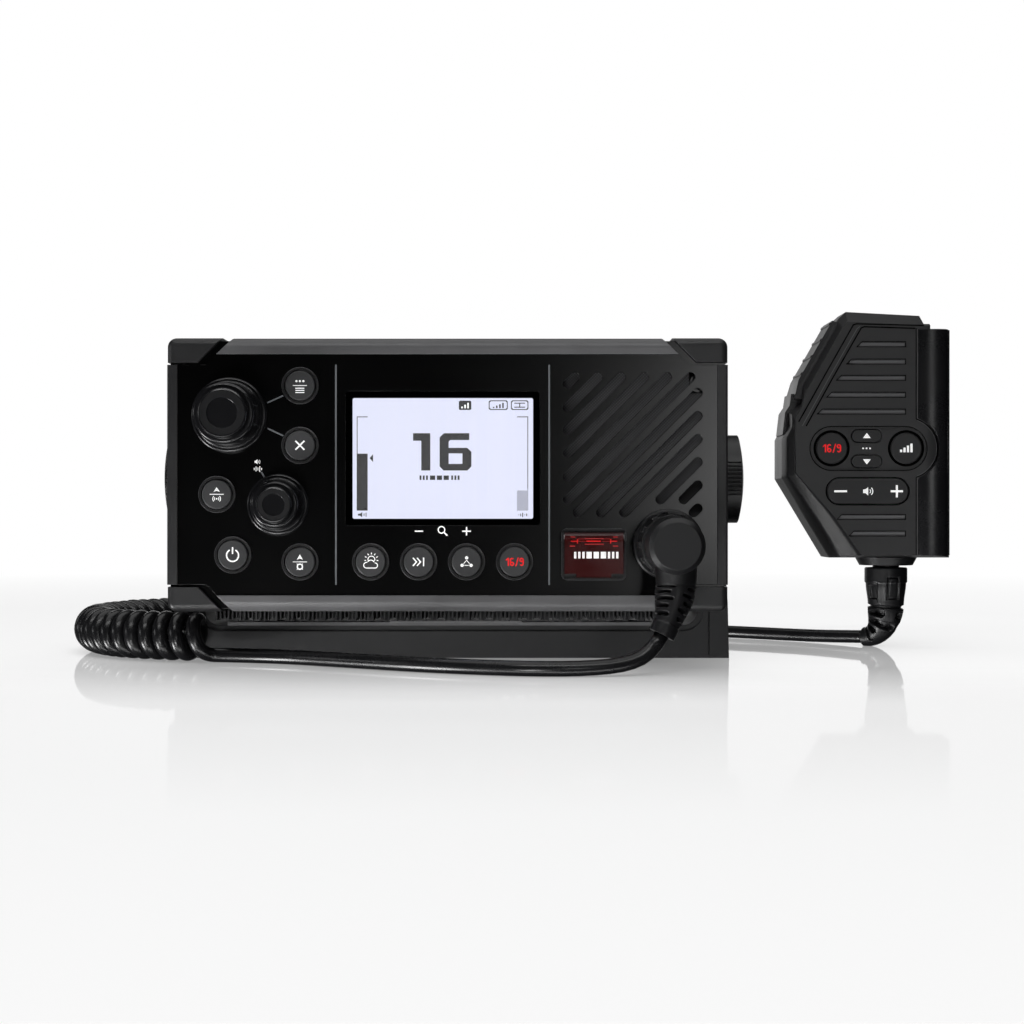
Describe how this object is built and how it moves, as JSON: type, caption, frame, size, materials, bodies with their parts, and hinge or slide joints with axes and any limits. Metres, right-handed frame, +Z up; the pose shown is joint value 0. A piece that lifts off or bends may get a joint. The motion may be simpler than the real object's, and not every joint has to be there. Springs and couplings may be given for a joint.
{
  "type": "vhf marine radio",
  "caption": "Fixed-mount marine VHF radio on a gimbal bracket, with a lit display, soft keys, push-and-turn knobs, a covered distress key and a hand microphone on a curly cord.",
  "frame": {"origin": "centre of the gimbal bracket's four mounting screws, on its underside", "axes": "+X to the right of the control panel, along the tilt axis; +Y away from the reader, so the panel faces -Y; +Z up, along the mounting screws"},
  "size_m": [0.3293, 0.2167, 0.1274],
  "materials": {
    "panel": "glossy black",
    "trim": "satin dark grey",
    "window": "clear",
    "lcd": "white lit display",
    "cloth": "fine black mesh",
    "speaker": "dark",
    "soft_keys": "matt dark grey",
    "board": "green laminate",
    "chassis": "black powder coat",
    "gasket": "matt",
    "steel": "plain",
    "nickel": "nickel plated",
    "socket": "satin black",
    "knob": "satin black, ribbed",
    "distress": "translucent dark red",
    "distress_key": "red",
    "plug": "satin black",
    "boot": "satin black",
    "bracket": "fine textured black",
    "washer": "matt",
    "cord": "satin black",
    "handset": "fine textured black",
    "handset_keys": "satin dark grey"
  },
  "bodies": {
    "bracket": {"gimbal_bracket": "bracket", "mic_cord_front": "cord", "mic_cord_coil": "cord", "mic_cord_rear": "cord"},
    "radio": {"front_panel": "panel", "bezel_rails": "trim", "bezel_side_strips": "trim", "bezel_corner_caps": "trim", "display_window": "window", "lcd_module": "lcd", "grille_cloth": "cloth", "speaker": "speaker", "keypad_mat": "soft_keys", "front_board": "board", "main_board": "board", "rear_chassis": "chassis", "chassis_gasket": "gasket", "chassis_screws": "steel", "antenna_connectors": "nickel", "power_socket": "socket", "data_sockets": "socket", "friction_washers": "washer", "channel_encoder": "socket", "volume_encoder": "socket", "distress_frame": "trim", "distress_hinge_pin": "steel", "mic_socket": "trim", "plug_body": "plug", "plug_boot": "boot"},
    "handset": {"handset_front_shell": "handset", "handset_rear_shell": "handset", "handset_electronics": "board", "handset_boot": "boot", "handset_hanger": "handset"},
    "key_menu": {"key_menu": "soft_keys"},
    "key_cancel": {"key_cancel": "soft_keys"},
    "key_ais": {"key_ais": "soft_keys"},
    "key_power": {"key_power": "soft_keys"},
    "key_nav": {"key_nav": "soft_keys"},
    "key_weather": {"key_weather": "soft_keys"},
    "key_scan": {"key_scan": "soft_keys"},
    "key_tri": {"key_tri": "soft_keys"},
    "key_channel16": {"key_channel16": "soft_keys"},
    "channel_plunger": {"channel_plunger": "socket"},
    "channel_knob": {"channel_knob": "knob"},
    "volume_plunger": {"volume_plunger": "socket"},
    "volume_knob": {"volume_knob": "knob"},
    "distress_cover": {"distress_cover": "distress"},
    "distress_button": {"distress_button": "distress_key"},
    "plug_ring": {"plug_ring": "plug"},
    "gimbal_washer_left": {"gimbal_washer_left": "washer"},
    "gimbal_washer_right": {"gimbal_washer_right": "washer"},
    "gimbal_knob_left": {"gimbal_knob_left": "bracket"},
    "gimbal_knob_right": {"gimbal_knob_right": "bracket"},
    "handset_ptt": {"handset_ptt": "handset"},
    "handset_key_16": {"handset_key_16": "handset_keys"},
    "handset_key_power": {"handset_key_power": "handset_keys"},
    "handset_key_up": {"handset_key_up": "handset_keys"},
    "handset_key_down": {"handset_key_down": "handset_keys"},
    "handset_volume_rocker": {"handset_volume_rocker": "handset_keys"}
  },
  "joints": [
    {"name": "radio_tilt", "type": "hinge", "parent": "bracket", "child": "radio", "pos_m": [0, 0, 0.064], "axis": [-1, 0, 0], "range_deg": [0, 15]},
    {"name": "key_menu_press", "type": "slide", "parent": "radio", "child": "key_menu", "axis": [0, 1, 0], "range_m": [0, 0.0012], "stiffness_N_per_m": 800, "springref_m": -0.0008},
    {"name": "key_cancel_press", "type": "slide", "parent": "radio", "child": "key_cancel", "axis": [0, 1, 0], "range_m": [0, 0.0012], "stiffness_N_per_m": 800, "springref_m": -0.0008},
    {"name": "key_ais_press", "type": "slide", "parent": "radio", "child": "key_ais", "axis": [0, 1, 0], "range_m": [0, 0.0012], "stiffness_N_per_m": 800, "springref_m": -0.0008},
    {"name": "key_power_press", "type": "slide", "parent": "radio", "child": "key_power", "axis": [0, 1, 0], "range_m": [0, 0.0012], "stiffness_N_per_m": 800, "springref_m": -0.0008},
    {"name": "key_nav_press", "type": "slide", "parent": "radio", "child": "key_nav", "axis": [0, 1, 0], "range_m": [0, 0.0012], "stiffness_N_per_m": 800, "springref_m": -0.0008},
    {"name": "key_weather_press", "type": "slide", "parent": "radio", "child": "key_weather", "axis": [0, 1, 0], "range_m": [0, 0.0012], "stiffness_N_per_m": 800, "springref_m": -0.0008},
    {"name": "key_scan_press", "type": "slide", "parent": "radio", "child": "key_scan", "axis": [0, 1, 0], "range_m": [0, 0.0012], "stiffness_N_per_m": 800, "springref_m": -0.0008},
    {"name": "key_tri_press", "type": "slide", "parent": "radio", "child": "key_tri", "axis": [0, 1, 0], "range_m": [0, 0.0012], "stiffness_N_per_m": 800, "springref_m": -0.0008},
    {"name": "key_channel16_press", "type": "slide", "parent": "radio", "child": "key_channel16", "axis": [0, 1, 0], "range_m": [0, 0.0012], "stiffness_N_per_m": 800, "springref_m": -0.0008},
    {"name": "channel_push", "type": "slide", "parent": "radio", "child": "channel_plunger", "axis": [0, 1, 0], "range_m": [0, 0.0008], "stiffness_N_per_m": 1500, "springref_m": -0.001},
    {"name": "channel_turn", "type": "hinge", "parent": "channel_plunger", "child": "channel_knob", "pos_m": [-0.0725, -0.085, 0.08375], "axis": [0, 1, 0], "continuous": true},
    {"name": "volume_push", "type": "slide", "parent": "radio", "child": "volume_plunger", "axis": [0, 1, 0], "range_m": [0, 0.0008], "stiffness_N_per_m": 1500, "springref_m": -0.001},
    {"name": "volume_turn", "type": "hinge", "parent": "volume_plunger", "child": "volume_knob", "pos_m": [-0.0563, -0.085, 0.054], "axis": [0, 1, 0], "continuous": true},
    {"name": "distress_cover_lift", "type": "hinge", "parent": "radio", "child": "distress_cover", "pos_m": [0.0487, -0.0783, 0.0433], "axis": [-1, 0, 0], "range_deg": [0, 110], "stiffness_Nm_per_rad": 0.002, "springref_deg": -17.19},
    {"name": "distress_press", "type": "slide", "parent": "radio", "child": "distress_button", "axis": [0, 1, 0], "range_m": [0, 0.0012], "stiffness_N_per_m": 800, "springref_m": -0.0008},
    {"name": "plug_ring_turn", "type": "hinge", "parent": "radio", "child": "plug_ring", "pos_m": [0.0736, -0.083, 0.0408], "axis": [0, -1, 0], "range_deg": [0, 45]},
    {"name": "gimbal_left_loosen", "type": "slide", "parent": "radio", "child": "gimbal_washer_left", "axis": [-1, 0, 0], "range_m": [0, 0.003]},
    {"name": "gimbal_left_turn", "type": "hinge", "parent": "gimbal_washer_left", "child": "gimbal_knob_left", "pos_m": [-0.103, 0, 0.064], "axis": [-1, 0, 0], "range_deg": [0, 1080]},
    {"name": "gimbal_right_loosen", "type": "slide", "parent": "radio", "child": "gimbal_washer_right", "axis": [1, 0, 0], "range_m": [0, 0.003]},
    {"name": "gimbal_right_turn", "type": "hinge", "parent": "gimbal_washer_right", "child": "gimbal_knob_right", "pos_m": [0.103, 0, 0.064], "axis": [1, 0, 0], "range_deg": [0, 1080]},
    {"name": "handset_lift", "type": "slide", "parent": "bracket", "child": "handset", "axis": [0, 0, 1], "range_m": [0, 0.06]},
    {"name": "handset_ptt_press", "type": "slide", "parent": "handset", "child": "handset_ptt", "axis": [0.8685, 0, -0.4957], "range_m": [0, 0.0015], "stiffness_N_per_m": 1500, "springref_m": -0.001},
    {"name": "handset_key_16_press", "type": "slide", "parent": "handset", "child": "handset_key_16", "axis": [0, 1, 0], "range_m": [0, 0.0008], "stiffness_N_per_m": 800, "springref_m": -0.0008},
    {"name": "handset_key_power_press", "type": "slide", "parent": "handset", "child": "handset_key_power", "axis": [0, 1, 0], "range_m": [0, 0.0008], "stiffness_N_per_m": 800, "springref_m": -0.0008},
    {"name": "handset_key_up_press", "type": "slide", "parent": "handset", "child": "handset_key_up", "axis": [0, 1, 0], "range_m": [0, 0.0008], "stiffness_N_per_m": 800, "springref_m": -0.0008},
    {"name": "handset_key_down_press", "type": "slide", "parent": "handset", "child": "handset_key_down", "axis": [0, 1, 0], "range_m": [0, 0.0008], "stiffness_N_per_m": 800, "springref_m": -0.0008},
    {"name": "handset_volume_rock", "type": "hinge", "parent": "handset", "child": "handset_volume_rocker", "pos_m": [0.1545, -0.0012, 0.05935], "axis": [0, 0, 1], "range_deg": [-2.5, 2.5], "stiffness_Nm_per_rad": 0.3}
  ],
  "couplings": [
    {"joint": "gimbal_left_turn", "follows": "gimbal_left_loosen", "rad_per_m": 6283.2},
    {"joint": "gimbal_right_turn", "follows": "gimbal_right_loosen", "rad_per_m": 6283.2}
  ]
}
